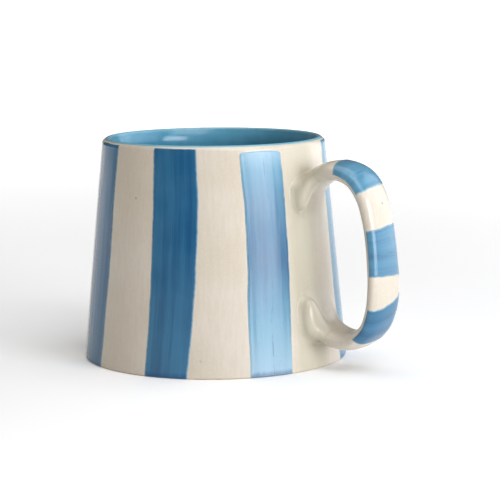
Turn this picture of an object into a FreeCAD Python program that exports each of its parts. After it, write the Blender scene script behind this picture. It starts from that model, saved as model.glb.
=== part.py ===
"""Hand-painted stoneware mug: a pot wider at its foot than at its rim, with a strap handle.

Frame: origin at the centre of the foot, on the surface that the mug stands on. +Z is up and the
handle is on the +X side. Lengths are in millimetres and angles in degrees.
"""
import FreeCAD, Part
import os
import math
import Sketcher

OUT = "parts"

# Driving dimensions, kept in the document's spreadsheet.
DIMENSIONS = {
    # the pot
    "mug_height": 84.0,
    "foot_diameter": 101.2,
    "rim_diameter": 84.8,
    "wall": 4.0,
    "floor_thickness": 5.0,
    "lip_round": 1.8,
    "inside_corner_round": 9.0,
    "foot_round": 0.6,
    "foot_ring_width": 6.0,
    "foot_ring_depth": 1.4,
    "foot_ring_round": 0.8,
    # glaze
    "liner_thickness": 0.3,
    "stroke_thickness": 0.2,
    "brush_width": 17.6,
    "stroke_foot_gap": 0.9,
    "stroke_lip_gap": 2.2,
    # the strap handle's centre line
    "strap_width": 18.6,
    "strap_thickness": 7.2,
    "strap_edge_round": 3.3,
    "top_reach": 56.1,
    "top_height": 74.4,
    "upper_inner_radius": 12.5,
    "upper_outer_radius": 14.5,
    "back_radius": 95.0,
    "lower_outer_radius": 14.0,
    "lower_inner_radius": 15.0,
    "bottom_reach": 60.0,
    "bottom_height": 11.3,
    "root_turn": 55.0,
    "root_length": 12.0,
    # the collars of slip at the handle's roots
    "slip_half_width": 11.9,
    "slip_half_height": 10.5,
    "slip_stand_out": 3.6,
    "upper_slip_height": 64.9,
    "lower_slip_height": 19.6,
    # where the brushed bands sit on the handle, as seen from the middle of its eye
    "eye_reach": 57.0,
    "eye_height": 41.6,
    "band_width": 15.8,
    "band_top_angle": 78.0,
    "band_middle_angle": 14.5,
    "band_bottom_angle": -55.0,
}

# Azimuths of the brushed strokes round the pot, from the handle's plane.
STROKE_AZIMUTHS = [26.2, 69.0, 111.5, 154.0, -164.0, -122.3, -75.1, -30.5]

BANDS = ["top", "middle", "bottom"]

doc = FreeCAD.newDocument("StripedMug")


# ---------------------------------------------------------------- the sheet

def make_sheet():
    """Write every driving dimension into a spreadsheet cell that has its name as alias."""
    cells = dict(DIMENSIONS)
    for number, azimuth in enumerate(STROKE_AZIMUTHS, start=1):
        cells["stroke_azimuth_%d" % number] = azimuth
    sheet = doc.addObject("Spreadsheet::Sheet", "Sizes")
    for row, (name, value) in enumerate(cells.items(), start=1):
        sheet.set("A%d" % row, name)
        sheet.set("B%d" % row, str(value))
        sheet.setAlias("B%d" % row, name)
    doc.recompute()
    return sheet


sheet = make_sheet()

# Expressions that several sub-parts share.
FOOT_R = "Sizes.foot_diameter / 2"
RIM_R = "Sizes.rim_diameter / 2"
CLAY_TOP = "(Sizes.mug_height - Sizes.liner_thickness)"
SLOPE = "((Sizes.foot_diameter - Sizes.rim_diameter) / 2 / Sizes.mug_height)"


def outer_radius(height):
    """Expression for the pot's outer radius at a height."""
    return "(%s - %s * %s)" % (FOOT_R, SLOPE, height)


def inner_radius(height):
    """Expression for the clay's inner radius at a height."""
    return "(%s - Sizes.wall)" % outer_radius(height)


# ---------------------------------------------------------------- sketches

def origin_plane(body, role):
    """One of a body's own origin planes."""
    for feature in body.Origin.OriginFeatures:
        if feature.Role == role:
            return feature
    raise ValueError(role)


def sketch_on(body, name, role):
    """An empty sketch lying on one of the body's origin planes."""
    sketch = body.newObject("Sketcher::SketchObject", name)
    sketch.AttachmentSupport = [(origin_plane(body, role), "")]
    sketch.MapMode = "FlatFace"
    return sketch


def value_of(owner, expression):
    """The number that an expression gives."""
    result = owner.evalExpression(expression)
    return float(getattr(result, "Value", result))


def constrain(sketch, kind, *arguments, size=None):
    """Add a constraint, and bind its size to an expression."""
    if size is None:
        return sketch.addConstraint(Sketcher.Constraint(kind, *arguments))
    index = sketch.addConstraint(Sketcher.Constraint(kind, *arguments, value_of(sketch, size)))
    sketch.setExpression("Constraints[%d]" % index, size)
    return index


def lock(sketch, geometry, end, across, up):
    """Hold a point of the sketch at a place given by two expressions; "0" puts it on the axis."""
    origin, axis_across, axis_up = -1, -1, -2
    if across == "0":
        constrain(sketch, "PointOnObject", geometry, end, axis_up)
    else:
        constrain(sketch, "DistanceX", origin, 1, geometry, end, size=across)
    if up == "0":
        constrain(sketch, "PointOnObject", geometry, end, axis_across)
    else:
        constrain(sketch, "DistanceY", origin, 1, geometry, end, size=up)


def corner_arc(before, corner, after, radius):
    """Arc that rounds a corner: its centre, both tangent points and the way it turns."""
    to_before = (before - corner).normalize()
    to_after = (after - corner).normalize()
    half = math.acos(max(-1.0, min(1.0, to_before.dot(to_after)))) / 2
    inward = (to_before + to_after).normalize()
    centre = corner + inward * (radius / math.sin(half))
    reach = radius / math.tan(half)
    turns_left = (corner - before).cross(after - corner).z > 0
    return centre, corner + to_before * reach, corner + to_after * reach, turns_left


def arc_of(centre, start, end):
    """Counter-clockwise arc from start to end."""
    first = math.atan2(start.y - centre.y, start.x - centre.x)
    last = math.atan2(end.y - centre.y, end.x - centre.x)
    circle = Part.Circle(centre, FreeCAD.Vector(0, 0, 1), (start - centre).Length)
    return Part.ArcOfCircle(circle, first, last)


def rounded_outline(sketch, corners):
    """Closed outline through corners (across, up, radius), each an expression; no radius is sharp."""
    places = [FreeCAD.Vector(value_of(sketch, across), value_of(sketch, up), 0)
              for across, up, _ in corners]
    count = len(corners)
    starts = list(places)
    ends = list(places)
    arcs = {}
    for index, (_, _, radius) in enumerate(corners):
        if radius is None:
            continue
        centre, enter, leave, turns_left = corner_arc(
            places[index - 1], places[index], places[(index + 1) % count], value_of(sketch, radius))
        ends[index] = enter
        starts[index] = leave
        arcs[index] = (centre, enter, leave, turns_left)
    lines = []
    for index in range(count):
        line = Part.LineSegment(starts[index], ends[(index + 1) % count])
        lines.append(sketch.addGeometry(line, False))
    for index, (across, up, radius) in enumerate(corners):
        incoming, outgoing = lines[index - 1], lines[index]
        if radius is None:
            constrain(sketch, "Coincident", incoming, 2, outgoing, 1)
            lock(sketch, outgoing, 1, across, up)
            continue
        centre, enter, leave, turns_left = arcs[index]
        first, last = (enter, leave) if turns_left else (leave, enter)
        arc = sketch.addGeometry(arc_of(centre, first, last), False)
        enter_end, leave_end = (1, 2) if turns_left else (2, 1)
        point = sketch.addGeometry(Part.Point(places[index]), True)
        lock(sketch, point, 1, across, up)
        constrain(sketch, "PointOnObject", point, 1, incoming)
        constrain(sketch, "PointOnObject", point, 1, outgoing)
        constrain(sketch, "Tangent", incoming, 2, arc, enter_end)
        constrain(sketch, "Tangent", arc, leave_end, outgoing, 1)
        constrain(sketch, "Radius", arc, size=radius)


def revolved(name, corners):
    """Body turned about the pot's axis from a rounded outline in the XZ plane."""
    body = doc.addObject("PartDesign::Body", name)
    sketch = sketch_on(body, name + "_outline", "XZ_Plane")
    rounded_outline(sketch, corners)
    turn = body.newObject("PartDesign::Revolution", name + "_turn")
    turn.Profile = sketch
    turn.ReferenceAxis = (sketch, ["V_Axis"])
    turn.Angle = 360
    doc.recompute()
    return body


# ---------------------------------------------------------------- the pot

def make_pot():
    """Wall, floor and foot ring, in one piece of clay."""
    ring_inside = "(%s - Sizes.foot_ring_width)" % FOOT_R
    floor_top = "Sizes.floor_thickness"
    corners = [
        ("0", "Sizes.foot_ring_depth", None),
        (ring_inside, "Sizes.foot_ring_depth", "Sizes.foot_ring_round"),
        ("(%s + Sizes.foot_ring_depth / 2)" % ring_inside, "0", "Sizes.foot_round"),
        (FOOT_R, "0", "Sizes.foot_round"),
        (outer_radius(CLAY_TOP), CLAY_TOP, "Sizes.lip_round"),
        (inner_radius(CLAY_TOP), CLAY_TOP, "Sizes.lip_round"),
        (inner_radius(floor_top), floor_top, "Sizes.inside_corner_round"),
        ("0", floor_top, None),
    ]
    return revolved("body", corners)


def make_liner():
    """Coat of glaze inside the pot and over its lip, as far as the lip's crest."""
    floor_top = "Sizes.floor_thickness"
    thick = "Sizes.liner_thickness"
    across = "(%s * (sqrt(1 + %s ^ 2) + %s))" % (thick, SLOPE, SLOPE)
    crest = "(%s - Sizes.lip_round)" % outer_radius(CLAY_TOP)
    corners = [
        ("0", floor_top, None),
        (inner_radius(floor_top), floor_top, "Sizes.inside_corner_round"),
        (inner_radius(CLAY_TOP), CLAY_TOP, "Sizes.lip_round"),
        (crest, CLAY_TOP, None),
        (crest, "Sizes.mug_height", None),
        ("(%s - %s)" % (inner_radius(CLAY_TOP), across), "Sizes.mug_height",
         "(Sizes.lip_round + %s)" % thick),
        ("(%s - %s)" % (inner_radius(floor_top), across), "(%s + %s)" % (floor_top, thick),
         "(Sizes.inside_corner_round - %s)" % thick),
        ("0", "(%s + %s)" % (floor_top, thick), None),
    ]
    return revolved("liner_glaze", corners)


def primitive(kind, name, **sizes):
    """A Part primitive whose properties are bound to expressions."""
    shape = doc.addObject(kind, name)
    for prop, expression in sizes.items():
        shape.setExpression(prop, expression)
    return shape


def cone(name, low, high, extra="0"):
    """Solid cone that follows the pot's outside between two heights, grown outwards by extra."""
    shape = primitive(
        "Part::Cone", name,
        Radius1="%s + %s" % (outer_radius(low), extra),
        Radius2="%s + %s" % (outer_radius(high), extra),
        Height="%s - %s" % (high, low))
    shape.setExpression("Placement.Base.z", low)
    return shape


def boolean(kind, name, base, tool):
    """A cut or common of two objects."""
    result = doc.addObject(kind, name)
    result.Base = base
    result.Tool = tool
    return result


# ---------------------------------------------------------------- the handle

def path_arc(sketch, centre_x, centre_z, radius, first, last):
    """Counter-clockwise arc of the handle's path, between two angles in degrees."""
    circle = Part.Circle(FreeCAD.Vector(centre_x, centre_z, 0), FreeCAD.Vector(0, 0, 1), radius)
    return sketch.addGeometry(Part.ArcOfCircle(circle, math.radians(first), math.radians(last)), False)


def size(name):
    """A driving dimension's value."""
    return float(sheet.get(name))


def back_circle():
    """Centre of the arc behind the fingers, and the angles where it meets the two corner arcs."""
    upper = FreeCAD.Vector(size("top_reach"), size("top_height") - size("upper_outer_radius"), 0)
    lower = FreeCAD.Vector(size("bottom_reach"), size("bottom_height") + size("lower_outer_radius"), 0)
    to_upper = size("back_radius") - size("upper_outer_radius")
    to_lower = size("back_radius") - size("lower_outer_radius")
    apart = lower - upper
    along = (to_upper ** 2 - to_lower ** 2 + apart.Length ** 2) / (2 * apart.Length)
    aside = math.sqrt(to_upper ** 2 - along ** 2)
    unit = FreeCAD.Vector(apart).normalize()
    towards_pot = FreeCAD.Vector(unit.y, -unit.x, 0)
    centre = upper + unit * along + towards_pot * aside
    upper_angle = math.degrees(math.atan2(upper.y - centre.y, upper.x - centre.x))
    lower_angle = math.degrees(math.atan2(lower.y - centre.y, lower.x - centre.x))
    return centre, upper_angle, lower_angle


def root_line(sketch, arc, arc_end, start, heading, heading_size):
    """Straight run from an arc's end into the wall, at a heading given in degrees and as an expression."""
    angle = math.radians(heading)
    step = FreeCAD.Vector(math.cos(angle), math.sin(angle), 0) * size("root_length")
    line = sketch.addGeometry(Part.LineSegment(start, start + step), False)
    constrain(sketch, "Tangent", arc, arc_end, line, 1)
    constrain(sketch, "Distance", line, size="Sizes.root_length")
    constrain(sketch, "Angle", line, size=heading_size)


def upper_path(body):
    """Path from the handle's top, back and down into the wall."""
    sketch = sketch_on(body, body.Name + "_upper_path", "XZ_Plane")
    top_x, top_z, radius = size("top_reach"), size("top_height"), size("upper_inner_radius")
    turn = size("root_turn")
    arc = path_arc(sketch, top_x, top_z - radius, radius, 90, 90 + turn)
    lock(sketch, arc, 1, "Sizes.top_reach", "Sizes.top_height")
    lock(sketch, arc, 3, "Sizes.top_reach", "Sizes.top_height - Sizes.upper_inner_radius")
    start = sketch.Geometry[arc].EndPoint
    root_line(sketch, arc, 2, start, 180 + turn, "-(180 - Sizes.root_turn) * 1 deg")
    return sketch


def lower_path(body):
    """Path from the handle's top, out, down behind the fingers and back into the wall."""
    sketch = sketch_on(body, body.Name + "_lower_path", "XZ_Plane")
    centre, upper_angle, lower_angle = back_circle()
    top_x, top_z, shoulder_r = size("top_reach"), size("top_height"), size("upper_outer_radius")
    low_x, low_z, heel_r = size("bottom_reach"), size("bottom_height"), size("lower_outer_radius")
    turn = size("root_turn")
    shoulder = path_arc(sketch, top_x, top_z - shoulder_r, shoulder_r, upper_angle, 90)
    back = path_arc(sketch, centre.x, centre.y, size("back_radius"), lower_angle, upper_angle)
    heel = path_arc(sketch, low_x, low_z + heel_r, heel_r, -90, lower_angle)
    root_r = size("lower_inner_radius")
    root = path_arc(sketch, low_x, low_z + root_r, root_r, 270 - turn, 270)
    lock(sketch, shoulder, 2, "Sizes.top_reach", "Sizes.top_height")
    lock(sketch, shoulder, 3, "Sizes.top_reach", "Sizes.top_height - Sizes.upper_outer_radius")
    lock(sketch, heel, 1, "Sizes.bottom_reach", "Sizes.bottom_height")
    lock(sketch, heel, 3, "Sizes.bottom_reach", "Sizes.bottom_height + Sizes.lower_outer_radius")
    lock(sketch, root, 3, "Sizes.bottom_reach", "Sizes.bottom_height + Sizes.lower_inner_radius")
    constrain(sketch, "Tangent", back, 2, shoulder, 1)
    constrain(sketch, "Tangent", back, 1, heel, 2)
    constrain(sketch, "Radius", back, size="Sizes.back_radius")
    constrain(sketch, "Coincident", heel, 1, root, 2)
    start = sketch.Geometry[root].StartPoint
    root_line(sketch, root, 1, start, 180 - turn, "(180 - Sizes.root_turn) * 1 deg")
    return sketch


def strap_section(body, corners):
    """Section of the strap at the top of the handle, where the path runs level."""
    sketch = sketch_on(body, body.Name + "_section", "YZ_Plane")
    sketch.setExpression("AttachmentOffset.Base.y", "Sizes.top_height")
    sketch.setExpression("AttachmentOffset.Base.z", "Sizes.top_reach")
    rounded_outline(sketch, corners)
    return sketch


def swept_strap(name, corners):
    """Body swept both ways from the top of the handle along its centre line."""
    body = doc.addObject("PartDesign::Body", name)
    section = strap_section(body, corners)
    paths = [upper_path(body), lower_path(body)]
    doc.recompute()
    for path in paths:
        pipe = body.newObject("PartDesign::AdditivePipe", path.Name + "_pipe")
        pipe.Profile = section
        pipe.Spine = path
        pipe.Mode = "Standard"
        doc.recompute()
    return body


def strap_corners():
    """Rounded rectangle: the strap's bare section."""
    across = "Sizes.strap_width / 2"
    up = "Sizes.strap_thickness / 2"
    edge = "Sizes.strap_edge_round"
    return [
        ("-%s" % across, "-%s" % up, edge),
        (across, "-%s" % up, edge),
        (across, up, edge),
        ("-%s" % across, up, edge),
    ]


def coat_corners():
    """The strap's section grown by the glaze's thickness, down to the inner edge's rounding."""
    across = "(Sizes.strap_width / 2 + Sizes.stroke_thickness)"
    up = "(Sizes.strap_thickness / 2 + Sizes.stroke_thickness)"
    down = "(Sizes.strap_thickness / 2 - Sizes.strap_edge_round)"
    edge = "(Sizes.strap_edge_round + Sizes.stroke_thickness)"
    return [
        ("-%s" % across, "-%s" % down, None),
        (across, "-%s" % down, None),
        (across, up, edge),
        ("-%s" % across, up, edge),
    ]


def make_handle(strap, pot_solid):
    """The strap, with its two ends cut to lie against the wall."""
    return boolean("Part::Cut", "handle", strap, pot_solid)


def make_slip_joint(name, height, pot_solid, handle):
    """Collar of slip round a root of the handle: a flat dome on the wall, less pot and handle."""
    dome = primitive(
        "Part::Ellipsoid", name + "_dome",
        Radius1="Sizes.slip_half_height",
        Radius2="Sizes.slip_stand_out",
        Radius3="Sizes.slip_half_width")
    dome.setExpression("Placement.Base.x", outer_radius(height))
    dome.setExpression("Placement.Base.z", height)
    outside = boolean("Part::Cut", name + "_outside", dome, pot_solid)
    return boolean("Part::Cut", name, outside, handle)


# ---------------------------------------------------------------- the brushed glaze

def make_wall_stroke(number, coat):
    """One upright stroke on the wall: the part of the coat that a straight brush covers."""
    azimuth = "Sizes.stroke_azimuth_%d" % number
    brush = primitive(
        "Part::Box", "wall_brush_%d" % number,
        Length="Sizes.foot_diameter",
        Width="Sizes.brush_width",
        Height="Sizes.mug_height")
    brush.setExpression("Placement.Rotation.Angle", azimuth)
    brush.setExpression("Placement.Base.x", "Sizes.brush_width / 2 * sin(%s)" % azimuth)
    brush.setExpression("Placement.Base.y", "-Sizes.brush_width / 2 * cos(%s)" % azimuth)
    return boolean("Part::Common", "wall_stripe_%d" % number, coat, brush)


def make_handle_stroke(band, coat):
    """One band round the handle's outer face and sides, square to a ray from the handle's eye."""
    angle = "Sizes.band_%s_angle" % band
    brush = primitive(
        "Part::Box", "handle_brush_" + band,
        Length="Sizes.foot_diameter / 2",
        Width="Sizes.strap_width * 2",
        Height="Sizes.band_width")
    brush.Placement.Rotation = FreeCAD.Rotation(FreeCAD.Vector(0, -1, 0), 1)
    brush.setExpression("Placement.Rotation.Angle", angle)
    brush.setExpression("Placement.Base.x", "Sizes.eye_reach + Sizes.band_width / 2 * sin(%s)" % angle)
    brush.setExpression("Placement.Base.y", "-Sizes.strap_width")
    brush.setExpression("Placement.Base.z", "Sizes.eye_height - Sizes.band_width / 2 * cos(%s)" % angle)
    return boolean("Part::Common", "handle_stripe_" + band, coat, brush)


# ---------------------------------------------------------------- the document

def build():
    """Make every sub-part and return them in the order in which the mug is made."""
    parts = [make_pot()]
    pot_solid = cone("pot_solid", "0", CLAY_TOP)
    strap = swept_strap("strap", strap_corners())
    handle = make_handle(strap, pot_solid)
    parts.append(handle)
    parts.append(make_slip_joint("upper_slip_joint", "Sizes.upper_slip_height", pot_solid, handle))
    parts.append(make_slip_joint("lower_slip_joint", "Sizes.lower_slip_height", pot_solid, handle))
    parts.append(make_liner())

    low = "Sizes.stroke_foot_gap"
    high = "(Sizes.mug_height - Sizes.stroke_lip_gap)"
    grown = cone("coated_cone", low, high, "Sizes.stroke_thickness")
    bare = cone("bare_cone", low, high)
    wall_coat = boolean("Part::Cut", "wall_coat", grown, bare)
    for number in range(1, len(STROKE_AZIMUTHS) + 1):
        parts.append(make_wall_stroke(number, wall_coat))

    coated_strap = swept_strap("coated_strap", coat_corners())
    strap_coat = boolean("Part::Cut", "strap_coat", coated_strap, strap)
    for band in BANDS:
        parts.append(make_handle_stroke(band, strap_coat))
    doc.recompute()
    return parts


def check(parts):
    """Stop if any object failed or any sub-part isn't a valid solid."""
    for item in doc.Objects:
        if "Invalid" in item.State or "Error" in item.State:
            raise RuntimeError("%s failed: %s" % (item.Label, item.State))
    for part in parts:
        if part.Shape.isNull() or not part.Shape.isValid():
            raise RuntimeError("%s has no valid shape" % part.Label)


def write(parts):
    """One STEP file for each sub-part."""
    os.makedirs(OUT, exist_ok=True)
    for part in parts:
        part.Shape.exportStep(os.path.join(OUT, part.Label + ".step"))
        print("%-24s solids %d  volume %9.1f mm3" % (part.Label, len(part.Shape.Solids), part.Shape.Volume))


parts = build()
check(parts)
write(parts)
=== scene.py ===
"""Looks of the striped stoneware mug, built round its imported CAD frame."""
import math
import random

import bpy
from mathutils import Matrix, Vector, noise


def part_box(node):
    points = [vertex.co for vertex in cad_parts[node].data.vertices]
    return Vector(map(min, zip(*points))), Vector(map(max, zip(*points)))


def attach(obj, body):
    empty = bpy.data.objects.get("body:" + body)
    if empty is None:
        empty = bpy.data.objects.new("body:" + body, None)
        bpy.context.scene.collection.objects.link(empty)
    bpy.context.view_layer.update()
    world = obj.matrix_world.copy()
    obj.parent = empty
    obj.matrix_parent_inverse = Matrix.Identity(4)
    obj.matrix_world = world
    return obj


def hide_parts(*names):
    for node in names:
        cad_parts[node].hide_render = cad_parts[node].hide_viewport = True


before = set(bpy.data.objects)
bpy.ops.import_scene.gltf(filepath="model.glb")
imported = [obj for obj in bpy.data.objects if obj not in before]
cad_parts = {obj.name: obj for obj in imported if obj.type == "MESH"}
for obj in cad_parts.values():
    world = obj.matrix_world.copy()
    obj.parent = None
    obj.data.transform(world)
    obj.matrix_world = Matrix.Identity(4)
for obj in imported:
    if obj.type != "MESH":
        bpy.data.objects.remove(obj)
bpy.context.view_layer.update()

# ---------------------------------------------------------------- sizes, in millimetres and degrees

MM = 0.001
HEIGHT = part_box("liner_glaze")[1].z / MM
FOOT_RADIUS = 50.6
RIM_RADIUS = 42.4
WALL = 4.0
FLOOR_THICKNESS = 5.0
FOOT_RING_WIDTH = 6.0
FOOT_RING_DEPTH = 1.4
FOOT_RING_LEAN = 0.7
FOOT_RING_ROUNDS = (0.6, 0.5)
FOOT_ROUND = 0.6
LIP_ROUND = 1.9
INNER_LIP_REACH = 2.6   # the inside of the lip falls away in a long soft slope
INNER_LIP_DROP = 4.0
INNER_LIP_ROUND = 0.9
INNER_LIP_EASE = 9.0
INSIDE_CORNER = 9.0
GLAZE = 0.3
CLAY_TOP = HEIGHT - GLAZE
LINER_SUNK = 0.5        # the liner's hidden side lies this deep in the clay
LINER_EDGE_LIFT = -0.15
LINER_EDGE_ANGLE = 25   # where the liner ends on the lip's outer round; 90 is the crest

# Unevenness of hand work on the pot.
SLACK = 0.13            # the clay lies this far inside the true shape
SLOW_SWELL = 0.09
FINE_SWELL = 0.025
LIP_DIP = 0.05

# Brushed strokes and their coat of glaze.
STROKE = 0.16
STROKE_SUNK = 0.25      # a stroke's hidden side lies this deep in the wall
STROKE_FOOT = 0.12
STROKE_TOP = 83.5
BRUSH_WIDTH = 17.6
COAT_RIM = 0.55         # a coat rises to its full thickness over this distance
COAT_UNDERCUT = 0.05    # its edge starts this share of its thickness below the clay,
COAT_SINK = 0.03        # and this much lower still
BEAD = 0.3              # height of the slight bead by its edge, as a share of the coat
BEAD_PLACE = 0.9
BEAD_SPREAD = 0.5
WOBBLE = 0.22           # sideways unevenness of a stroke's edges, slow and fine
FINE_WOBBLE = 0.08
RAGGED_TOP = 0.12
STREAK = 0.03
FOOT_STEEPNESS = 3      # the rim at a stroke's foot is this much steeper than at its sides
TOP_NARROWING = 2.5     # and the pale edge at its top this much narrower
EDGE_UNIT = 10          # the Edge map is in centimetres
BRUSH_UNIT = 100        # the Brush map runs along a wall stroke in decimetres

AROUND = 540            # segments round the pot
SEED = 7

# The camera, as fitted to the photo.
CAMERA_AZIMUTH = 35.0
CAMERA_ELEVATION = 8.363
CAMERA_DISTANCE = 707.1
CAMERA_ROLL = -0.455
CAMERA_LENS = 132.13
SENSOR_WIDTH = 36.0
CAMERA_AIM = (10.77, 8.45, 39.67)


# ---------------------------------------------------------------- small helpers

def lerp(a, b, t):
    """Straight from a to b as t goes from 0 to 1."""
    return a + (b - a) * t


def smooth(t):
    """Ease from 0 to 1."""
    t = max(0.0, min(1.0, t))
    return t * t * (3 - 2 * t)


def along(values, t):
    """Smooth curve through evenly spaced values, at t from 0 to 1."""
    spans = len(values) - 1
    index = min(int(t * spans), spans - 1)
    f = t * spans - index
    p1, p2 = values[index], values[index + 1]
    p0 = values[index - 1] if index > 0 else 2 * p1 - p2
    p3 = values[index + 2] if index + 2 <= spans else 2 * p2 - p1
    return 0.5 * (2 * p1 + (p2 - p0) * f + (2 * p0 - 5 * p1 + 4 * p2 - p3) * f * f
                  + (3 * p1 - p0 - 3 * p2 + p3) * f ** 3)


def wave(x, y=0.0, z=0.0):
    """Smooth noise, about -1 to 1."""
    return noise.noise(Vector((x + SEED, y, z)))


def add_mesh(name, points, faces, material, maps=None):
    """A smooth-shaded mesh piece that rides on the mug, from points in millimetres."""
    mesh = bpy.data.meshes.new(name)
    mesh.from_pydata([(x * MM, y * MM, z * MM) for x, y, z in points], [], faces)
    for map_name, coordinates in (maps or {}).items():
        layer = mesh.uv_layers.new(name=map_name)
        for loop in mesh.loops:
            layer.data[loop.index].uv = coordinates[loop.vertex_index]
    mesh.polygons.foreach_set("use_smooth", [True] * len(mesh.polygons))
    mesh.materials.append(material)
    mesh.validate()
    piece = bpy.data.objects.new(name, mesh)
    bpy.context.scene.collection.objects.link(piece)
    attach(piece, "root")
    return piece


def grid_faces(rows, columns, wrap):
    """Quads of a grid of points stored row by row; wrap joins the last column to the first."""
    faces = []
    last = columns if wrap else columns - 1
    for row in range(rows - 1):
        for column in range(last):
            right = (column + 1) % columns
            a, b = row * columns + column, row * columns + right
            faces.append((a, b, b + columns, a + columns))
    return faces


# ---------------------------------------------------------------- the pot's surface

def outer_radius(z):
    """Radius of the outside's straight slope at a height."""
    return lerp(FOOT_RADIUS, RIM_RADIUS, z / HEIGHT)


def rounding(rise, radius):
    """How far a rounded edge lies in from its corner's face, at a rise from where it starts."""
    rise = max(0.0, min(radius, rise))
    return radius - math.sqrt(radius ** 2 - rise ** 2)


def skin_radius(z):
    """Radius of the clay's outside, with its rounded foot and lip."""
    return (outer_radius(z) - rounding(z - (CLAY_TOP - LIP_ROUND), LIP_ROUND)
            - rounding(FOOT_ROUND - z, FOOT_ROUND))


def place(radius, azimuth, z):
    """A point of the pot, with the slight unevenness of hand work. Azimuth is in radians."""
    x, y = math.cos(azimuth), math.sin(azimuth)
    share = radius / FOOT_RADIUS
    slow = wave(1.3 * x, 1.3 * y, z / 60)
    fine = wave(6 * x, 6 * y, z / 9)
    radius += (-SLACK + SLOW_SWELL * slow + FINE_SWELL * fine) * share
    dip = LIP_DIP + LIP_DIP * wave(1.6 * x, 1.6 * y, 5)
    z -= dip * smooth((z - 0.5 * HEIGHT) / (0.5 * HEIGHT))
    return radius * x, radius * y, z


def wall_point(azimuth, z, lift=0.0):
    """A point on the outside of the wall."""
    return place(skin_radius(z) + lift, azimuth, z)


def rounded_path(corners, spacing=1.5, arc_steps=10):
    """Points along a path through corners (r, z, radius), with arcs at the corners."""
    path = []
    places = [Vector((r, z)) for r, z, _ in corners]
    for index, (_, _, radius) in enumerate(corners):
        corner = places[index]
        if not radius:
            run = [corner]
        else:
            back = (places[index - 1] - corner).normalized()
            ahead = (places[index + 1] - corner).normalized()
            half = back.angle(ahead) / 2
            centre = corner + (back + ahead).normalized() * (radius / math.sin(half))
            enter = corner + back * (radius / math.tan(half)) - centre
            leave = ahead * (radius / math.tan(half)) + corner - centre
            sweep = math.atan2(enter.cross(leave), enter.dot(leave))
            run = []
            for step in range(arc_steps + 1):
                angle = sweep * step / arc_steps
                c, s = math.cos(angle), math.sin(angle)
                run.append(centre + Vector((enter.x * c - enter.y * s, enter.x * s + enter.y * c)))
        if path:
            start = path[-1]
            pieces = max(1, int((run[0] - start).length / spacing))
            path += [start.lerp(run[0], step / pieces) for step in range(1, pieces)]
        path += run
    return path


def turned(name, path, material):
    """A closed solid turned about the pot's axis from a path that starts and ends on the axis."""
    points = []
    for spot in path[1:-1]:
        for column in range(AROUND):
            points.append(place(spot.x, 2 * math.pi * column / AROUND, spot.y))
    rows = len(path) - 2
    faces = grid_faces(rows, AROUND, True)
    first, last = len(points), len(points) + 1
    points += [(0, 0, path[0].y), (0, 0, path[-1].y)]
    top = (rows - 1) * AROUND
    for column in range(AROUND):
        right = (column + 1) % AROUND
        faces.append((first, right, column))
        faces.append((last, top + column, top + right))
    return add_mesh(name, points, faces, material)


def pot_path():
    """Half section of the clay, from the middle of the base round to the middle of the floor."""
    ring = FOOT_RADIUS - FOOT_RING_WIDTH
    return rounded_path([
        (0, FOOT_RING_DEPTH, 0),
        (ring, FOOT_RING_DEPTH, FOOT_RING_ROUNDS[0]),
        (ring + FOOT_RING_LEAN, 0, FOOT_RING_ROUNDS[1]),
        (FOOT_RADIUS, 0, FOOT_ROUND),
        (outer_radius(CLAY_TOP), CLAY_TOP, LIP_ROUND),
    ] + inner_corners(0))


def lip_run(first, last, lift_first, lift_last, steps=16):
    """Path over the lip's outer round between two angles in degrees, lifted off the clay."""
    centre = Vector((outer_radius(CLAY_TOP) - LIP_ROUND, CLAY_TOP - LIP_ROUND))
    run = []
    for step in range(steps + 1):
        t = step / steps
        angle = math.radians(lerp(first, last, t))
        reach = LIP_ROUND + lerp(lift_first, lift_last, smooth(t))
        run.append(centre + Vector((math.cos(angle), math.sin(angle))) * reach)
    return run


def inner_corners(lift):
    """Corners of the inside, from the lip's crest to the middle of the floor, lifted off the clay."""
    top = CLAY_TOP + lift
    lip = outer_radius(CLAY_TOP)
    return [
        (lip - INNER_LIP_REACH, top, INNER_LIP_ROUND),
        (lip - WALL - lift, top - INNER_LIP_DROP, INNER_LIP_EASE),
        (outer_radius(FLOOR_THICKNESS) - WALL - lift, FLOOR_THICKNESS + lift, INSIDE_CORNER),
        (0, FLOOR_THICKNESS + lift, 0),
    ]


def liner_path():
    """Half section of the glaze inside, over the lip and thinning away just outside its crest."""
    crest = 90
    hidden = lip_run(crest, LINER_EDGE_ANGLE, -LINER_SUNK, -LINER_SUNK)
    shown = lip_run(LINER_EDGE_ANGLE, crest, LINER_EDGE_LIFT, GLAZE)
    below = rounded_path(list(reversed(inner_corners(-LINER_SUNK))) + [(*hidden[0], 0)])
    above = rounded_path([(*shown[-1], 0)] + inner_corners(GLAZE))
    return below[:-1] + hidden + shown + above[1:]


# ---------------------------------------------------------------- brushed strokes

def coat(distance, thickness):
    """Thickness of a brushed coat at a distance in from its edge: a steep rim, a slight bead."""
    rim = smooth(distance / COAT_RIM) * (1 + COAT_UNDERCUT) - COAT_UNDERCUT
    bead = math.exp(-((distance - BEAD_PLACE) / BEAD_SPREAD) ** 2)
    return thickness * (rim + BEAD * bead) - COAT_SINK


def across_steps(count, edge_share):
    """Fractions from 0 to 1, crowded at both ends by edge_share: 0 is even spacing."""
    steps = []
    for index in range(count + 1):
        t = index / count
        steps.append(lerp(t, smooth(t), edge_share))
    return steps


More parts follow.
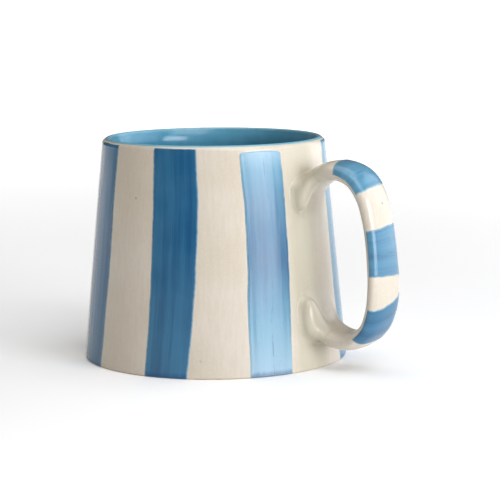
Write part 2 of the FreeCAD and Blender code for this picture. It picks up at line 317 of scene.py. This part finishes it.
def sheet_solid(name, rows, columns, top, bottom, material, maps):
    """Closed thin solid between two grids of points of the same shape."""
    count = rows * columns
    sheet = grid_faces(rows, columns, False)
    faces = sheet + [tuple(count + index for index in reversed(face)) for face in sheet]
    rim = list(range(columns))
    rim += [row * columns + columns - 1 for row in range(1, rows)]
    rim += [(rows - 1) * columns + column for column in range(columns - 2, -1, -1)]
    rim += [row * columns for row in range(rows - 2, 0, -1)]
    for index, a in enumerate(rim):
        b = rim[(index + 1) % len(rim)]
        faces.append((b, a, a + count, b + count))
    doubled = {key: values + values for key, values in maps.items()}
    return add_mesh(name, top + bottom, faces, material, doubled)


def wobble(z, slow_seed, fine_seed):
    """Sideways unevenness of a stroke's edge at a height."""
    return WOBBLE * wave(z / 7, slow_seed) + FINE_WOBBLE * wave(z / 1.7, fine_seed)


def wall_stroke(number, left, right, tops, corner, thinness_and_sheen, material):
    """An upright stroke.

    left and right are its edges' azimuths from the foot to the lip, tops the heights of its upper
    end from left to right, and the list of paleness says how pale the stroke is made from the foot
    to the lip: thin glaze, and on stroke 8 also a painted reflection of the key light.
    """
    rows, columns = 230, 44
    upper, lower, brush, edge, load_and_sheen = [], [], [], [], []
    for v in across_steps(rows - 1, 0.5):
        for u in across_steps(columns - 1, 0.7):
            from_side = min(u, 1 - u) * BRUSH_WIDTH
            shoulder = rounding(corner - from_side, corner)
            top = along(tops, u) - shoulder + RAGGED_TOP * wave(u * 7, number * 3.1)
            foot = STROKE_FOOT + 0.1 * shoulder
            z = lerp(foot, top, v)
            radius = skin_radius(z)
            first = math.radians(along(left, z / HEIGHT))
            first += wobble(z, number * 5.3, number * 2.9) / radius
            last = math.radians(along(right, z / HEIGHT))
            last += wobble(z, number * 9.1, number * 4.7) / radius
            azimuth = lerp(first, last, u)
            side_gap = min(u, 1 - u) * (last - first) * radius
            end_gap = min(top - z, FOOT_STEEPNESS * (z - foot)) + 0.02
            streak = STREAK * wave(u * 16, z / 30, number)
            lift = coat(min(side_gap, end_gap), STROKE + streak)
            upper.append(wall_point(azimuth, z, lift))
            lower.append(wall_point(azimuth, z, -STROKE_SUNK))
            brush.append((u, z / BRUSH_UNIT + number))
            edge.append((min(side_gap, TOP_NARROWING * (top - z)) / EDGE_UNIT, z / EDGE_UNIT))
            load_and_sheen.append((along(thinness_and_sheen, z / HEIGHT), 0))
    return sheet_solid("wall_stroke_%d" % number, rows, columns, upper, lower, material,
                       {"Brush": brush, "Edge": edge, "Load": load_and_sheen})


# ---------------------------------------------------------------- the handle

# Centre line of the strap in the XZ plane, evenly spaced from the upper root to the lower.
HANDLE_LINE = [
    (43.4, 63.8), (48.2, 70.8), (56.0, 73.8), (64.2, 71.6), (69.5, 65.2),
    (72.0, 57.2), (73.4, 49.0), (74.3, 40.6), (74.7, 32.2), (73.9, 23.9),
    (70.8, 16.4), (64.3, 11.6), (56.1, 11.7), (49.1, 16.0), (47.3, 23.9),
]
LINE_X = [x for x, _ in HANDLE_LINE]
LINE_Z = [z for _, z in HANDLE_LINE]
STRAP_WIDTHS = [17.8, 18.5, 17.5, 19.5, 19.0, 18.5]
STRAP_THICKNESSES = [6.8, 7.6, 7.0, 6.85, 6.9, 7.6]
ROUNDNESS = 2.25       # exponent of the strap's superellipse section
UPPER_END = 0.095      # where the strap's plain run starts and ends, as shares of its line
LOWER_END = 0.868
SECTION_STEPS = 72
STRAP_SLACK = 0.08
STRAP_SWELL = 0.10

# The strap's roots. A heading's strength says how far the skin keeps going the way it started.
TONGUE_LIFT = 1.7      # how far off the wall the slip starts to fill the corner
NECK_SHARE = 0.6       # how far along the root that is
SIDE_LEAN = 0.30       # how much the corner opens there
SLIP_BEAD = 0.15       # the slip's raised edge
SLIP_BEAD_SPREAD = 0.5
FLANK_LEAVING = 1.1    # strength of the sharp flank's heading at the strap, and at the wall
FLANK_ARRIVING = 0.45
EASY_LEAVING = 1.25    # the same for the rest of the skin
EASY_ARRIVING = 1.35
FLANK_GAIN = 1.15      # how soon the sharp flank takes over from the easy skin
ROOT_SKIRT = [(1.012, -0.25), (0.9, -0.8)]   # growth and lift of the rings hidden in the wall

# Bands round the strap, from the near side over the outer face to the far side.
BAND_NEAR = 187        # degrees round the strap's section
BAND_FAR = -7
BAND_SUNK = 0.3
BAND_ACROSS = 34       # way across the strap, taken long so that the ends have steep rims
LINE_LENGTH = 117.9    # length of the strap's centre line
RAGGED_END = 0.3


def line_at(u):
    """Point, direction of travel and outward normal of the handle's line, at u from 0 to 1."""
    step = 0.002
    spot = Vector((along(LINE_X, u), 0, along(LINE_Z, u)))
    ahead = Vector((along(LINE_X, min(1, u + step)), 0, along(LINE_Z, min(1, u + step))))
    behind = Vector((along(LINE_X, max(0, u - step)), 0, along(LINE_Z, max(0, u - step))))
    travel = (ahead - behind).normalized()
    outward = Vector((-travel.z, 0, travel.x))
    return spot, travel, outward


def section_at(theta, roundness):
    """A point of a unit superellipse: theta 0 is the +Y side and 90 degrees the outer face."""
    c, s = math.cos(theta), math.sin(theta)
    power = 2 / roundness
    return math.copysign(abs(c) ** power, c), math.copysign(abs(s) ** power, s)


def strap_point(u, theta, lift=0.0):
    """A point on the strap's skin."""
    spot, _, outward = line_at(u)
    width = along(STRAP_WIDTHS, u)
    thickness = along(STRAP_THICKNESSES, u)
    across, out = section_at(theta, ROUNDNESS)
    uneven = STRAP_SWELL * wave(u * 9, math.cos(theta) * 1.2, math.sin(theta) * 1.2)
    side = Vector((0, 1, 0))
    grown = lift + uneven - STRAP_SLACK
    return spot + outward * (out * (thickness / 2 + grown)) + side * (across * (width / 2 + grown))


def capped_tube(name, rings, material):
    """Closed solid from rings of points, capped at both ends."""
    points = [tuple(point) for ring in rings for point in ring]
    columns = len(rings[0])
    faces = grid_faces(len(rings), columns, True)
    faces.append(tuple(reversed(range(columns))))
    last = (len(rings) - 1) * columns
    faces.append(tuple(last + column for column in range(columns)))
    return add_mesh(name, points, faces, material)


def thetas():
    """Angles round the strap's section."""
    return [2 * math.pi * step / SECTION_STEPS for step in range(SECTION_STEPS)]


def make_strap(material):
    """The strap between its two roots."""
    rows = 260
    rings = []
    for row in range(rows + 1):
        u = lerp(UPPER_END, LOWER_END, row / rows)
        rings.append([strap_point(u, theta) for theta in thetas()])
    return capped_tube("strap_handle", rings, material)


class Outline:
    """A superellipse on the wall: its middle height, half height, half width and roundness."""

    def __init__(self, middle, half_height, half_width, roundness):
        self.middle = middle
        self.half_height = half_height
        self.half_width = half_width
        self.roundness = roundness

    def at(self, theta, outer_is_up, grow=1.0, lift=0.0):
        """A point of the outline, matched to the strap's section at the same theta."""
        across, out = section_at(theta, self.roundness)
        up = out if outer_is_up else -out
        y = across * self.half_width * grow
        z = self.middle + up * self.half_height * grow
        azimuth = math.asin(y / outer_radius(z))
        return Vector(wall_point(azimuth, z, lift))


def hermite(start, heading_start, finish, heading_finish, t):
    """Curve between two points that leaves and arrives along the given headings."""
    h00 = 2 * t ** 3 - 3 * t ** 2 + 1
    h10 = t ** 3 - 2 * t ** 2 + t
    h01 = -2 * t ** 3 + 3 * t ** 2
    h11 = t ** 3 - t ** 2
    return start * h00 + heading_start * h10 + finish * h01 + heading_finish * h11


def flank_curve(start, inward, neck, foot, spread, t):
    """The strap's flank runs straight in to the neck, then slip drops to its edge on the wall."""
    into_wall = -Vector((neck.x, neck.y, 0)).normalized()
    turn = (into_wall * (1 - SIDE_LEAN) + spread * SIDE_LEAN).normalized()
    if t < NECK_SHARE:
        reach = (neck - start).length
        return hermite(start, inward * reach * FLANK_LEAVING, neck, turn * reach, t / NECK_SHARE)
    reach = (foot - neck).length
    t = (t - NECK_SHARE) / (1 - NECK_SHARE)
    bead = SLIP_BEAD * math.exp(-((1 - t) * reach / SLIP_BEAD_SPREAD) ** 2)
    arriving = spread * reach * FLANK_ARRIVING
    return hermite(neck, turn * reach, foot, arriving, t) - into_wall * bead


def make_root(name, end, tongue, slip, spare, outer_is_up, material):
    """Skin from the strap's end to the wall: a sharp slip fillet on the near flank, easy elsewhere.

    tongue is the fillet's start, off the wall, and slip its edge on the wall. spare is how much of
    each face the fillet leaves alone: 0 reaches the middle of both faces.
    """
    steps = 60
    _, travel, _ = line_at(end)
    inward = -travel if outer_is_up else travel
    rings = [[] for _ in range(steps + 1 + len(ROOT_SKIRT))]
    for theta in thetas():
        start = strap_point(end, theta)
        neck = tongue.at(theta, outer_is_up, lift=TONGUE_LIFT)
        foot = slip.at(theta, outer_is_up)
        spread = (slip.at(theta, outer_is_up, grow=1.05) - foot).normalized()
        reach = (foot - start).length
        near = smooth((-math.cos(theta) - spare) / (1 - spare) * FLANK_GAIN)
        leaving = inward * reach * EASY_LEAVING
        arriving = spread * reach * EASY_ARRIVING
        for step in range(steps + 1):
            t = step / steps
            easy = hermite(start, leaving, foot, arriving, t)
            rings[step].append(easy.lerp(flank_curve(start, inward, neck, foot, spread, t), near))
        for ring, (grow, lift) in zip(rings[steps + 1:], ROOT_SKIRT):
            ring.append(slip.at(theta, outer_is_up, grow=grow, lift=lift))
    if not outer_is_up:
        rings = [list(reversed(ring)) for ring in rings]
    return capped_tube(name, rings, material)


def handle_stroke(name, starts, ends, number, thinness_and_sheen, material):
    """A band round the strap. starts and ends are shares of its line, from near side to far."""
    rows, columns = 90, 70
    near, far = math.radians(BAND_NEAR), math.radians(BAND_FAR)
    upper, lower, brush, edge, load_and_sheen = [], [], [], [], []
    for v in across_steps(rows - 1, 0.5):
        for w in across_steps(columns - 1, 0.5):
            theta = lerp(near, far, w)
            start = along(starts, w) + RAGGED_END * wave(w * 7, number * 3.3) / LINE_LENGTH
            end = along(ends, w) + RAGGED_END * wave(w * 7, number * 6.1) / LINE_LENGTH
            u = lerp(start, end, v)
            end_gap = min(u - start, end - u) * LINE_LENGTH
            side_gap = min(w, 1 - w) * BAND_ACROSS
            lift = coat(min(end_gap, side_gap), STROKE)
            upper.append(tuple(strap_point(u, theta, lift)))
            lower.append(tuple(strap_point(u, theta, -BAND_SUNK)))
            brush.append((v, w * 0.3 + number))
            edge.append((min(end_gap, side_gap) / EDGE_UNIT, 1.0))
            load_and_sheen.append((thinness_and_sheen, 0))
    return sheet_solid(name, rows, columns, upper, lower, material,
                       {"Brush": brush, "Edge": edge, "Load": load_and_sheen})


# ---------------------------------------------------------------- materials

def linear(*levels):
    """Colour from 0 to 255 screen levels."""
    out = []
    for level in levels:
        c = level / 255
        out.append(c / 12.92 if c <= 0.04045 else ((c + 0.055) / 1.055) ** 2.4)
    return (*out, 1.0)


CREAM = linear(203, 192, 175)
CREAM_PALE = linear(210, 200, 187)
CREAM_STREAK = linear(194, 180, 157)
CREAM_FLECK = linear(217, 209, 195)
CREAM_SPOT = linear(128, 102, 74)
# Painted shade for the wall behind the handle, where the strap's shadow falls.
CREAM_ROOT_SHADE = linear(176, 172, 148)
CLAY = linear(178, 158, 128)
CLAY_PALE = linear(200, 184, 158)
BLUE_DEEP = linear(12, 74, 115)
BLUE = linear(44, 106, 142)
BLUE_THIN = linear(118, 172, 194)
BLUE_THINNEST_AND_SHEEN = linear(190, 206, 218)
BLUE_POOL = linear(20, 70, 122)
BLUE_EDGE = linear(166, 184, 186)
BLUE_LINE = linear(34, 82, 128)
BLUE_DOT = linear(20, 52, 86)
TURQUOISE = linear(80, 146, 174)
TURQUOISE_PALE = linear(98, 163, 189)
TURQUOISE_RUN = linear(74, 140, 172)
TURQUOISE_THIN = linear(124, 176, 190)
TURQUOISE_END = linear(172, 184, 178)
BACKDROP = linear(243, 243, 243)
BACKDROP_PALE = linear(246, 246, 246)

# Roughness ranges. Above about 0.27 the cream comes out of the picture's noise filter in patches.
CREAM_ROUGHNESS = (0.17, 0.24)
BLUE_ROUGHNESS = (0.15, 0.23)
TURQUOISE_ROUGHNESS = (0.15, 0.24)

# Where a look comes and goes, in metres. A pair is where its share is 0 and where it is 1.
BARE_FOOT = (0.0005, 0.0001)
# Where the painted shade behind the handle lies.
ROOT_SHADE_FROM_WALL = (0.0395, 0.0435)
ROOT_SHADE_TO_STRAP = (0.060, 0.050)
ROOT_SHADE_MIDDLE = -0.007
ROOT_SHADE_SPREAD = (0.0105, 0.0050)
LIP_THINS = (0.0826, 0.0838)
LINER_END_RADIUS = (0.0413, 0.0425)
LINER_END_HEIGHT = (0.079, 0.081)
GLOW_REACH = (0.12, 1.2)

FLOOR_GLOW = (0.06, 0.60)   # how strongly the floor glows at the two ends of GLOW_REACH


class Nodes:
    """A material's node tree, with short calls for the nodes that these materials use."""

    def __init__(self, name):
        self.material = bpy.data.materials.new(name)
        self.material.use_nodes = True
        self.tree = self.material.node_tree
        self.shader = self.tree.nodes["Principled BSDF"]

    def link(self, source, target):
        self.tree.links.new(source, target)

    def node(self, kind, **settings):
        made = self.tree.nodes.new(kind)
        for name, value in settings.items():
            setattr(made, name, value)
        return made

    def feed(self, socket, value):
        """Put a number, a colour or another node's output into a socket."""
        if isinstance(value, bpy.types.NodeSocket):
            self.link(value, socket)
        else:
            socket.default_value = value

    def math(self, operation, a, b=0.0, clamp=False):
        made = self.node("ShaderNodeMath", operation=operation, use_clamp=clamp)
        self.feed(made.inputs[0], a)
        self.feed(made.inputs[1], b)
        return made.outputs[0]

    def plus(self, a, b):
        return self.math("ADD", a, b)

    def minus(self, a, b):
        return self.math("SUBTRACT", a, b)

    def times(self, a, b):
        return self.math("MULTIPLY", a, b)

    def from_axis(self, x, y):
        """Distance from the pot's axis."""
        return self.math("SQRT", self.plus(self.times(x, x), self.times(y, y)))

    def span(self, value, low, high, to_low=0.0, to_high=1.0):
        """Map a range to another, smoothly and clamped."""
        made = self.node("ShaderNodeMapRange", interpolation_type="SMOOTHSTEP")
        self.feed(made.inputs["Value"], value)
        made.inputs["From Min"].default_value = low
        made.inputs["From Max"].default_value = high
        made.inputs["To Min"].default_value = to_low
        made.inputs["To Max"].default_value = to_high
        return made.outputs["Result"]

    def mix(self, share, a, b, blend="MIX"):
        made = self.node("ShaderNodeMix", data_type="RGBA", blend_type=blend)
        self.feed(made.inputs["Factor"], share)
        self.feed(made.inputs["A"], a)
        self.feed(made.inputs["B"], b)
        return made.outputs["Result"]

    def place(self, source, scale):
        """Coordinates stretched along each axis."""
        made = self.node("ShaderNodeMapping")
        self.link(source, made.inputs["Vector"])
        made.inputs["Scale"].default_value = scale
        return made.outputs["Vector"]

    def noise(self, vector, scale, detail=3.0, roughness=0.5):
        made = self.node("ShaderNodeTexNoise")
        self.link(vector, made.inputs["Vector"])
        made.inputs["Scale"].default_value = scale
        made.inputs["Detail"].default_value = detail
        made.inputs["Roughness"].default_value = roughness
        return made.outputs["Fac"]

    def specks(self, vector, scale, size):
        """Round spots, 1 in the middle of each and 0 outside its size."""
        made = self.node("ShaderNodeTexVoronoi", feature="F1")
        self.link(vector, made.inputs["Vector"])
        made.inputs["Scale"].default_value = scale
        return self.span(made.outputs["Distance"], size, size * 0.5)

    def bump(self, height, strength, distance):
        made = self.node("ShaderNodeBump")
        made.inputs["Strength"].default_value = strength
        made.inputs["Distance"].default_value = distance
        self.link(height, made.inputs["Height"])
        self.link(made.outputs["Normal"], self.shader.inputs["Normal"])

    def object_vector(self):
        return self.node("ShaderNodeTexCoord").outputs["Object"]

    def uv(self, name):
        return self.node("ShaderNodeUVMap", uv_map=name).outputs["UV"]

    def split(self, vector):
        made = self.node("ShaderNodeSeparateXYZ")
        self.link(vector, made.inputs[0])
        return made.outputs

    def finish(self, colour, roughness):
        self.feed(self.shader.inputs["Base Color"], colour)
        self.feed(self.shader.inputs["Roughness"], roughness)
        return self.material


def cream_material():
    """Cream stoneware under clear glaze, bare and rough on the foot ring, with painted grey-green shade
    on the wall behind the handle.
    """
    n = Nodes("cream_stoneware")
    where = n.object_vector()
    x, y, up = n.split(where)
    cloud = n.noise(where, 38.0, 4.0)
    brushed = n.noise(n.place(where, (1.0, 1.0, 0.10)), 900.0, 3.0, 0.6)
    weave = n.noise(where, 1500.0, 2.0, 0.6)
    colour = n.mix(n.span(cloud, 0.35, 0.68), CREAM, CREAM_PALE)
    colour = n.mix(n.span(brushed, 0.35, 0.7, 0.0, 0.30), colour, CREAM_STREAK)
    colour = n.mix(n.span(weave, 0.4, 0.7, 0.0, 0.25), colour, CREAM_FLECK)
    spotted = n.span(n.noise(where, 60.0, 2.0), 0.55, 0.62)
    spots = n.times(n.specks(where, 150.0, 0.10), spotted)
    colour = n.mix(n.times(spots, 0.5), colour, CREAM_SPOT)
    # Painted shade: a grey-green darkening of the wall in a band behind the handle and over the strap's
    # roots, where the handle's shadow falls.
    root_shade = n.times(n.span(x, *ROOT_SHADE_FROM_WALL), n.span(x, *ROOT_SHADE_TO_STRAP))
    aside = n.math("ABSOLUTE", n.plus(y, -ROOT_SHADE_MIDDLE))
    root_shade = n.times(root_shade, n.span(aside, *ROOT_SHADE_SPREAD))
    colour = n.mix(n.times(root_shade, 0.5), colour, CREAM_ROOT_SHADE)
    bare = n.span(up, *BARE_FOOT)
    clay = n.mix(n.span(n.noise(where, 700.0, 4.0), 0.35, 0.7), CLAY, CLAY_PALE)
    colour = n.mix(bare, colour, clay)
    polish = n.span(n.noise(where, 120.0, 3.0), 0.3, 0.7, *CREAM_ROUGHNESS)
    rough = n.math("ADD", polish, n.times(bare, 0.55), clamp=True)
    n.bump(n.plus(n.times(brushed, 0.6), n.times(weave, 0.4)), 0.12, 0.0003)
    return n.finish(colour, rough)


def blue_material():
    """Brushed blue glaze with streaks along the stroke, deep where it pools at the foot.

    It is paler where the glaze-load map is high, and along the stroke's edges. That map stands for
    thin glaze, and on stroke 8 also for a painted reflection of the key light.
    """
    n = Nodes("brushed_blue_glaze")
    brush = n.uv("Brush")
    across = n.split(brush)[0]
    from_edge, height, _ = n.split(n.uv("Edge"))
    load_and_sheen = n.split(n.uv("Load"))[0]
    where = n.object_vector()
    hair = n.noise(n.place(brush, (60.0, 3.0, 1.0)), 1.0, 5.0, 0.65)
    broad = n.noise(n.place(brush, (5.0, 1.1, 1.0)), 1.0, 3.0, 0.5)
    patch = n.noise(where, 60.0, 3.0)
    depth = n.plus(n.times(hair, 0.30), n.times(broad, 0.50))
    depth = n.plus(depth, n.times(patch, 0.20))
    colour = n.mix(n.span(depth, 0.34, 0.66), BLUE_DEEP, BLUE)
    thin = n.times(load_and_sheen, n.span(broad, 0.3, 0.6, 0.8, 1.0))
    colour = n.mix(thin, colour, BLUE_THIN)
    # Painted reflection: the palest blue, reached only at stroke 8's top and bottom, stands in partly
    # for the key light's reflection there.
    colour = n.mix(n.span(load_and_sheen, 0.5, 1.0, 0.0, 0.65), colour, BLUE_THINNEST_AND_SHEEN)
    tide = n.noise(n.place(brush, (9.0, 1.0, 1.0)), 1.0)
    pool = n.span(n.plus(height, n.times(tide, 0.2)), 0.36, 0.16)
    colour = n.mix(n.times(pool, 0.6), colour, BLUE_POOL)
    ragged = n.times(n.noise(where, 800.0, 3.0), 0.05)
    fade = n.span(n.minus(from_edge, ragged), 0.070, -0.020)
    colour = n.mix(n.times(fade, 0.75), colour, BLUE_EDGE)
    drift = n.times(n.noise(n.place(brush, (0.0, 4.0, 1.0)), 1.0), 0.25)
    aside = n.math("ABSOLUTE", n.minus(n.minus(across, 0.42), drift))
    broken = n.span(n.noise(n.place(brush, (0.0, 14.0, 1.0)), 1.0), 0.42, 0.6, 0.0, 0.4)
    line = n.times(n.span(aside, 0.022, 0.004), broken)
    colour = n.mix(line, colour, BLUE_LINE)
    dotted = n.span(n.noise(where, 200.0, 2.0), 0.55, 0.62)
    dots = n.times(n.specks(where, 900.0, 0.16), dotted)
    colour = n.mix(n.times(dots, 0.5), colour, BLUE_DOT)
    n.bump(n.plus(n.times(hair, 0.6), n.times(broad, 0.4)), 0.15, 0.0003)
    return n.finish(colour, n.span(patch, 0.3, 0.7, *BLUE_ROUGHNESS))


def liner_material():
    """Turquoise glaze that breaks pale where it runs thin over the lip, and fades into the clay."""
    n = Nodes("turquoise_liner_glaze")
    where = n.object_vector()
    x, y, up = n.split(where)
    cloud = n.noise(where, 55.0, 4.0)
    run = n.noise(n.place(where, (1.0, 1.0, 0.25)), 160.0, 3.0)
    colour = n.mix(n.span(cloud, 0.35, 0.68), TURQUOISE, TURQUOISE_PALE)
    colour = n.mix(n.span(run, 0.4, 0.7, 0.0, 0.35), colour, TURQUOISE_RUN)
    wander = n.times(n.minus(run, 0.5), 0.0009)
    thin = n.span(n.plus(up, wander), *LIP_THINS)
    colour = n.mix(n.times(thin, 0.8), colour, TURQUOISE_THIN)
    beyond = n.span(n.plus(n.from_axis(x, y), wander), *LINER_END_RADIUS)
    beyond = n.times(beyond, n.span(up, *LINER_END_HEIGHT))
    colour = n.mix(beyond, colour, TURQUOISE_END)
    n.bump(n.plus(cloud, n.times(run, 0.5)), 0.12, 0.0004)
    return n.finish(colour, n.span(cloud, 0.3, 0.7, *TURQUOISE_ROUGHNESS))


def floor_material():
    """Matt white that glows more far from the mug, as a lit backdrop does."""
    n = Nodes("studio_floor")
    where = n.object_vector()
    colour = n.mix(n.span(n.noise(where, 3.0), 0.3, 0.7), BACKDROP, BACKDROP_PALE)
    x, y, _ = n.split(where)
    glow = n.span(n.from_axis(x, y), *GLOW_REACH, *FLOOR_GLOW)
    n.shader.inputs["Emission Color"].default_value = (1.0, 1.0, 1.0, 1.0)
    n.feed(n.shader.inputs["Emission Strength"], glow)
    return n.finish(colour, 0.8)


# ---------------------------------------------------------------- the mug

cream = cream_material()
blue = blue_material()
turquoise = liner_material()

pot = turned("stoneware_pot", pot_path(), cream)
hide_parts("body")
liner = turned("liner_glaze_coat", liner_path(), turquoise)
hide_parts("liner_glaze")

strap = make_strap(cream)
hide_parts("handle")

UPPER_TONGUE = Outline(middle=64.2, half_height=8.3, half_width=11.2, roundness=2.5)
UPPER_SLIP = Outline(middle=64.3, half_height=9.3, half_width=12.9, roundness=2.3)
UPPER_SPARE = 0.45
upper_root = make_root("upper_slip_root", UPPER_END, UPPER_TONGUE, UPPER_SLIP, UPPER_SPARE, True, cream)
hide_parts("upper_slip_joint")

LOWER_TONGUE = Outline(middle=19.8, half_height=10.4, half_width=12.5, roundness=2.6)
LOWER_SLIP = Outline(middle=20.0, half_height=11.9, half_width=14.4, roundness=2.5)
LOWER_SPARE = 0.15
lower_root = make_root("lower_slip_root", LOWER_END, LOWER_TONGUE, LOWER_SLIP, LOWER_SPARE, False, cream)
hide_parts("lower_slip_joint")

# Azimuths of the left and right edges of the strokes in view, from the foot to the lip.
MEASURED_STROKES = {
    6: ([-133.0, -133.6, -133.8, -133.6, -133.0], [-113.0, -111.9, -110.8, -110.7, -109.7]),
    7: ([-86.4, -85.3, -85.0, -85.2, -86.0], [-66.7, -64.5, -62.8, -62.1, -63.4]),
    8: ([-40.7, -41.1, -40.5, -41.2, -43.2], [-20.9, -20.0, -19.0, -19.1, -20.2]),
    1: ([14.2, 14.5, 15.0, 15.5, 16.0], [34.2, 35.4, 36.8, 38.4, 39.6]),
}
# Middle azimuths of the strokes out of sight.
HIDDEN_STROKES = {2: 69.0, 3: 111.5, 4: 154.0, 5: -164.0}
EDGE_DRIFT = 0.8
TOP_DRIFT = 0.3
SHARP_CORNER = 0.5
# One stroke stops short of the lip, with a rounded end.
SHORT_STROKE = 8
SHORT_TOPS = [81.5, 81.9, 82.0, 81.5]
SHORT_CORNER = 1.6
# How pale each stroke is made, from the foot to the lip: 0 is a full coat. Mostly thin glaze; on stroke
# 8 the pale top and bottom are also a painted reflection of the key light.
EVEN = [0.1, 0.05, 0.0, 0.0, 0.05]
THINNESS_AND_SHEEN = {
    1: [0.3, 0.4, 0.45, 0.5, 0.5],
    4: [0.3, 0.1, 0.05, 0.2, 0.3],
    # Stroke 8: thin glaze, and a painted reflection of the key light at its top and bottom.
    8: [0.80, 0.55, 0.05, 0.25, 0.80],
}


def hidden_edges(azimuth, rng):
    """Edges of a stroke that is as wide as the brush all the way up."""
    left, right = [], []
    for share in (0, 0.25, 0.5, 0.75, 1):
        half = math.degrees(BRUSH_WIDTH / 2 / outer_radius(share * HEIGHT))
        left.append(azimuth - half + rng.uniform(-EDGE_DRIFT, EDGE_DRIFT))
        right.append(azimuth + half + rng.uniform(-EDGE_DRIFT, EDGE_DRIFT))
    return left, right


def make_wall_strokes():
    """All eight upright strokes, each in the place of its CAD node."""
    rng = random.Random(SEED)
    for number in range(1, 9):
        if number in MEASURED_STROKES:
            left, right = MEASURED_STROKES[number]
        else:
            left, right = hidden_edges(HIDDEN_STROKES[number], rng)
        tops = [STROKE_TOP - TOP_DRIFT * rng.random() for _ in range(4)]
        corner = SHARP_CORNER
        if number == SHORT_STROKE:
            tops, corner = SHORT_TOPS, SHORT_CORNER
        thinness_and_sheen = THINNESS_AND_SHEEN.get(number, EVEN)
        stroke = wall_stroke(number, left, right, tops, corner, thinness_and_sheen, blue)
        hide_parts("wall_stripe_%d" % number)


# Where each band starts and ends, as shares of the handle's line, from the near side to the far.
HANDLE_BANDS = {
    "top": ([0.165, 0.157, 0.150, 0.146, 0.145], [0.276, 0.275, 0.271, 0.267, 0.265]),
    "middle": ([0.389, 0.387, 0.383, 0.380, 0.378], [0.533, 0.535, 0.539, 0.544, 0.547]),
    "bottom": ([0.632, 0.629, 0.616, 0.597, 0.585], [0.756, 0.753, 0.745, 0.738, 0.735]),
}
HANDLE_THINNESS = {"top": 0.5, "middle": 0.35, "bottom": 0.15}
FIRST_BAND_NUMBER = 11   # bands carry on from the strokes' numbers, so that their noise differs


def make_handle_strokes():
    """The three bands round the strap."""
    for number, (band, (starts, ends)) in enumerate(HANDLE_BANDS.items(), start=FIRST_BAND_NUMBER):
        thinness_and_sheen = HANDLE_THINNESS[band]
        stroke = handle_stroke("handle_stroke_" + band, starts, ends, number, thinness_and_sheen, blue)
        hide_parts("handle_stripe_" + band)


make_wall_strokes()
make_handle_strokes()


# ---------------------------------------------------------------- studio, in metres

COOL = (0.96, 1.0, 1.08)
NEUTRAL = (1.0, 1.0, 1.0)
WARM = (1.0, 0.94, 0.84, 1.0)
WORLD_BRIGHTNESS = 0.12
OVERHEAD_BRIGHTNESS = 1.45
OVERHEAD_SPREAD = 60
FLOOR_REACH = 40.0
FLOOR_CELLS = 40


def direction(azimuth, elevation):
    """Unit vector from the mug towards a place at that azimuth and elevation."""
    a, e = math.radians(azimuth), math.radians(elevation)
    return Vector((math.sin(a) * math.cos(e), -math.cos(a) * math.cos(e), math.sin(e)))


def make_floor():
    """Plain pale floor, wide enough to fill the picture."""
    steps = range(FLOOR_CELLS + 1)
    spots = [lerp(-FLOOR_REACH, FLOOR_REACH, step / FLOOR_CELLS) for step in steps]
    points = [(x, y, 0) for y in spots for x in spots]
    mesh = bpy.data.meshes.new("studio_floor")
    mesh.from_pydata(points, [], grid_faces(len(spots), len(spots), False))
    mesh.materials.append(floor_material())
    floor = bpy.data.objects.new("studio_floor", mesh)
    bpy.context.scene.collection.objects.link(floor)


def softbox(name, middle, width, height, brightness, tint):
    """Rectangular soft light centred at a point in metres and facing the mug."""
    lamp = bpy.data.lights.new(name, "AREA")
    lamp.shape = "RECTANGLE"
    lamp.size = width
    lamp.size_y = height
    lamp.energy = brightness * math.pi * width * height
    lamp.color = tint
    holder = bpy.data.objects.new(name, lamp)
    holder.location = middle
    holder.visible_camera = False
    bpy.context.scene.collection.objects.link(holder)
    return holder


def upright_softbox(name, azimuth, distance, width, height, brightness, tint):
    """Softbox that stands on the floor, with its face upright."""
    middle = direction(azimuth, 0) * distance + Vector((0, 0, height / 2))
    holder = softbox(name, middle, width, height, brightness, tint)
    holder.rotation_euler = direction(azimuth, 0).to_track_quat("Z", "Y").to_euler()


def raised_softbox(name, azimuth, elevation, distance, width, height, brightness, tint):
    """Softbox on a boom, tilted down at the mug."""
    towards = direction(azimuth, elevation)
    holder = softbox(name, towards * distance, width, height, brightness, tint)
    holder.rotation_euler = towards.to_track_quat("Z", "Y").to_euler()


def overhead():
    """Very soft light from straight above, for the floor."""
    lamp = bpy.data.lights.new("overhead", "SUN")
    lamp.energy = OVERHEAD_BRIGHTNESS
    lamp.angle = math.radians(OVERHEAD_SPREAD)
    holder = bpy.data.objects.new("overhead", lamp)
    bpy.context.scene.collection.objects.link(holder)


def make_world():
    """Dim warm light from all round."""
    world = bpy.data.worlds.new("studio_world")
    world.use_nodes = True
    background = world.node_tree.nodes["Background"]
    background.inputs["Color"].default_value = WARM
    background.inputs["Strength"].default_value = WORLD_BRIGHTNESS
    bpy.context.scene.world = world


def make_camera():
    """Camera at the photo's angle."""
    lens = bpy.data.cameras.new("camera")
    lens.lens = CAMERA_LENS
    lens.sensor_width = SENSOR_WIDTH
    lens.clip_end = 50.0
    camera = bpy.data.objects.new("camera", lens)
    aim = Vector(CAMERA_AIM) * MM
    middle = Vector((0, 0, HEIGHT * MM / 2))
    camera.location = middle + direction(CAMERA_AZIMUTH, CAMERA_ELEVATION) * CAMERA_DISTANCE * MM
    look = (aim - camera.location).to_track_quat("-Z", "Y").to_matrix()
    roll = Matrix.Rotation(math.radians(CAMERA_ROLL), 3, "Z")
    camera.rotation_euler = (look @ roll).to_euler()
    bpy.context.scene.collection.objects.link(camera)
    bpy.context.scene.camera = camera


make_floor()
make_world()
upright_softbox("key", azimuth=CAMERA_AZIMUTH + 47, distance=1.2,
                width=0.62, height=0.62, brightness=7.4, tint=COOL)
upright_softbox("fill", azimuth=CAMERA_AZIMUTH + 105, distance=1.5,
                width=2.0, height=1.4, brightness=1.4, tint=COOL)
raised_softbox("front", azimuth=CAMERA_AZIMUTH + 32, elevation=50, distance=1.4,
               width=0.9, height=0.7, brightness=3.1, tint=NEUTRAL)
overhead()
make_camera()
bpy.context.scene.view_settings.view_transform = "Standard"
